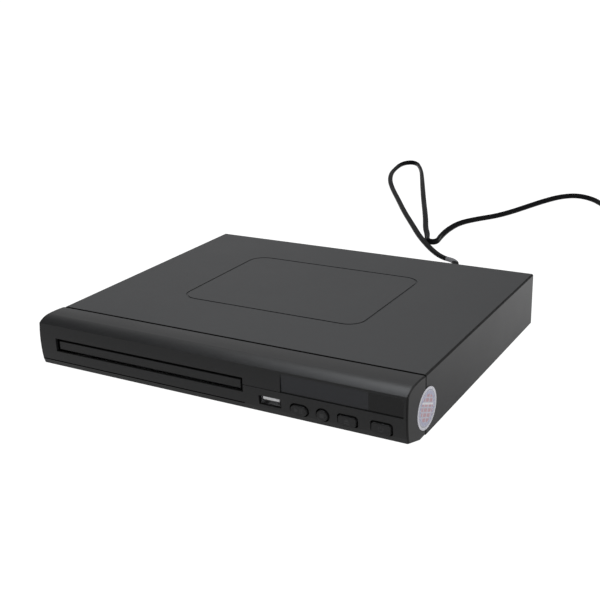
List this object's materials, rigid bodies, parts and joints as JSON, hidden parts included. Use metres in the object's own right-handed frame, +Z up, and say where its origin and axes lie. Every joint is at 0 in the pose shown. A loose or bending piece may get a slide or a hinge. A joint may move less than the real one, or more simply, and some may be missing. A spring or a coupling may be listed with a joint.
{
  "type": "disc player",
  "caption": "Slim disc player: steel case, moulded front with window, buttons and USB socket, motor-driven disc tray, swinging pickup chassis and a mains lead.",
  "frame": {"origin": "on the surface it stands on, under the middle of the player without its lead", "axes": "+X to the right seen from the front, the front faces -Y, +Z up"},
  "size_m": [0.434, 0.7343, 0.0426],
  "materials": {
    "cover_paint": "satin powder coat",
    "zinc_sheet": "bright zinc plate",
    "fascia_plastic": "satin moulded",
    "button_plastic": "satin moulded",
    "window_plastic": "smoked gloss",
    "rubber_black": "matt",
    "belt_rubber": "matt",
    "screw_steel": "plated",
    "connector_shell": "bright tin",
    "tongue_plastic": "moulded",
    "board_green": "solder resist",
    "board_paper": "paper laminate",
    "chip_black": "matt",
    "connector_white": "moulded",
    "capacitor_sleeve": "shrink sleeve",
    "ferrite": "sintered",
    "winding_tape": "taped",
    "heat_sink_metal": "extruded",
    "loader_plastic": "moulded",
    "tray_plastic": "fine grain",
    "gear_white": "acetal",
    "motor_can": "plated",
    "bridge_steel": "zinc plate",
    "magnet_dark": "sintered",
    "chassis_steel": "zinc plate",
    "rod_steel": "ground",
    "turntable_plastic": "moulded",
    "pickup_metal": "die cast",
    "lens_glass": "coated",
    "collar_plastic": "moulded in three colours",
    "ribbon_film": "film",
    "cord_sheath": "dull sheen",
    "plug_moulding": "moulded",
    "pin_brass": "nickel plated",
    "tie_wire": "coated",
    "label_film": "metallised"
  },
  "bodies": {
    "case": {"top_cover": "cover_paint", "base_chassis": "zinc_sheet", "rear_panel": "cover_paint", "rear_screws": "screw_steel", "feet": "rubber_black", "front_fascia": "fascia_plastic", "display_window": "window_plastic", "tact_switches": "connector_white", "front_board": "board_paper", "usb_socket": "connector_shell", "usb_tongue": "tongue_plastic", "display_module": "chip_black", "ir_receiver": "chip_black", "loader_frame": "loader_plastic", "loading_motor": "motor_can", "drive_belt": "belt_rubber", "clamp_bridge": "bridge_steel", "inner_screws": "screw_steel", "main_board": "board_green", "power_board": "board_paper", "board_chips": "chip_black", "board_connectors": "connector_white", "capacitors": "capacitor_sleeve", "transformer": "ferrite", "transformer_winding": "winding_tape", "heat_sink": "heat_sink_metal", "av_sockets": "tongue_plastic", "av_collars": "collar_plastic", "hdmi_socket": "connector_shell", "ribbon_cable": "ribbon_film", "inner_lead": "cord_sheath", "strain_relief": "plug_moulding", "mains_cord": "cord_sheath", "cord_coil": "cord_sheath", "cord_tie": "tie_wire", "mains_plug": "plug_moulding", "plug_pins": "pin_brass", "seal_label": "label_film"},
    "play_button": {"play_button": "button_plastic"},
    "stop_button": {"stop_button": "button_plastic"},
    "eject_button": {"eject_button": "button_plastic"},
    "power_button": {"power_button": "button_plastic"},
    "tray": {"tray": "tray_plastic", "tray_door": "fascia_plastic"},
    "tray_gear": {"tray_gear": "gear_white"},
    "pulley_gear": {"pulley_gear": "gear_white"},
    "motor_pulley": {"motor_pulley": "gear_white"},
    "clamper": {"clamper": "turntable_plastic", "clamp_magnet": "magnet_dark"},
    "swing_chassis": {"swing_chassis": "chassis_steel", "guide_rods": "rod_steel", "spindle_motor": "motor_can", "sled_motor": "motor_can"},
    "turntable": {"turntable": "turntable_plastic"},
    "pickup_sled": {"pickup_sled": "pickup_metal"},
    "lens_holder": {"lens_holder": "chip_black", "objective_lens": "lens_glass"},
    "sled_gear": {"sled_gear": "gear_white"},
    "sled_pinion": {"sled_pinion": "gear_white"},
    "cam_slider": {"cam_slider": "gear_white"}
  },
  "joints": [
    {"name": "tray_slide", "type": "slide", "parent": "case", "child": "tray", "axis": [0, -1, 0], "range_m": [0, 0.135]},
    {"name": "tray_gear_spin", "type": "hinge", "parent": "case", "child": "tray_gear", "pos_m": [-0.0037, -0.0735, 0.0196], "axis": [0, 0, 1], "range_deg": [-1107, 2]},
    {"name": "pulley_spin", "type": "hinge", "parent": "case", "child": "pulley_gear", "pos_m": [-0.0205, -0.0735, 0.0186], "axis": [0, 0, 1], "range_deg": [-2, 2765]},
    {"name": "motor_pulley_spin", "type": "hinge", "parent": "case", "child": "motor_pulley", "pos_m": [-0.0565, -0.0735, 0.0173], "axis": [0, 0, 1], "range_deg": [-2, 8203]},
    {"name": "cam_slide", "type": "slide", "parent": "case", "child": "cam_slider", "axis": [1, 0, 0], "range_m": [0, 0.02]},
    {"name": "chassis_tilt", "type": "hinge", "parent": "case", "child": "swing_chassis", "pos_m": [-0.0467, 0.046, 0.0132], "axis": [1, 0, 0], "range_deg": [0, 3.25]},
    {"name": "disc_spin", "type": "hinge", "parent": "swing_chassis", "child": "turntable", "pos_m": [-0.0467, -0.042, 0.022], "axis": [0, 0, 1], "continuous": true},
    {"name": "clamper_spin", "type": "hinge", "parent": "case", "child": "clamper", "pos_m": [-0.0467, -0.042, 0.031], "axis": [0, 0, 1], "continuous": true},
    {"name": "sled_slide", "type": "slide", "parent": "swing_chassis", "child": "pickup_sled", "axis": [0, 1, 0], "range_m": [0, 0.034]},
    {"name": "sled_gear_spin", "type": "hinge", "parent": "swing_chassis", "child": "sled_gear", "pos_m": [-0.0813, 0.011, 0.016], "axis": [0, 0, 1], "range_deg": [-1, 542]},
    {"name": "sled_pinion_spin", "type": "hinge", "parent": "swing_chassis", "child": "sled_pinion", "pos_m": [-0.0813, 0.0224, 0.015], "axis": [0, 0, 1], "range_deg": [-1517, 2]},
    {"name": "lens_focus", "type": "slide", "parent": "pickup_sled", "child": "lens_holder", "axis": [0, 0, 1], "range_m": [-0.0005, 0.0005]},
    {"name": "play_press", "type": "slide", "parent": "case", "child": "play_button", "axis": [0, 1, 0], "range_m": [0, 0.0005], "stiffness_N_per_m": 600},
    {"name": "stop_press", "type": "slide", "parent": "case", "child": "stop_button", "axis": [0, 1, 0], "range_m": [0, 0.0005], "stiffness_N_per_m": 600},
    {"name": "eject_press", "type": "slide", "parent": "case", "child": "eject_button", "axis": [0, 1, 0], "range_m": [0, 0.0005], "stiffness_N_per_m": 600},
    {"name": "power_press", "type": "slide", "parent": "case", "child": "power_button", "axis": [0, 1, 0], "range_m": [0, 0.0005], "stiffness_N_per_m": 600}
  ],
  "couplings": [
    {"joint": "tray_gear_spin", "follows": "tray_slide", "rad_per_m": -142.86},
    {"joint": "pulley_spin", "follows": "tray_slide", "rad_per_m": 357.14},
    {"joint": "motor_pulley_spin", "follows": "tray_slide", "rad_per_m": 1059.7},
    {"joint": "chassis_tilt", "follows": "cam_slide", "rad_per_m": 2.7925},
    {"joint": "clamper_spin", "follows": "disc_spin", "ratio": 1},
    {"joint": "sled_gear_spin", "follows": "sled_slide", "rad_per_m": 277.78},
    {"joint": "sled_pinion_spin", "follows": "sled_slide", "rad_per_m": -777.78}
  ]
}
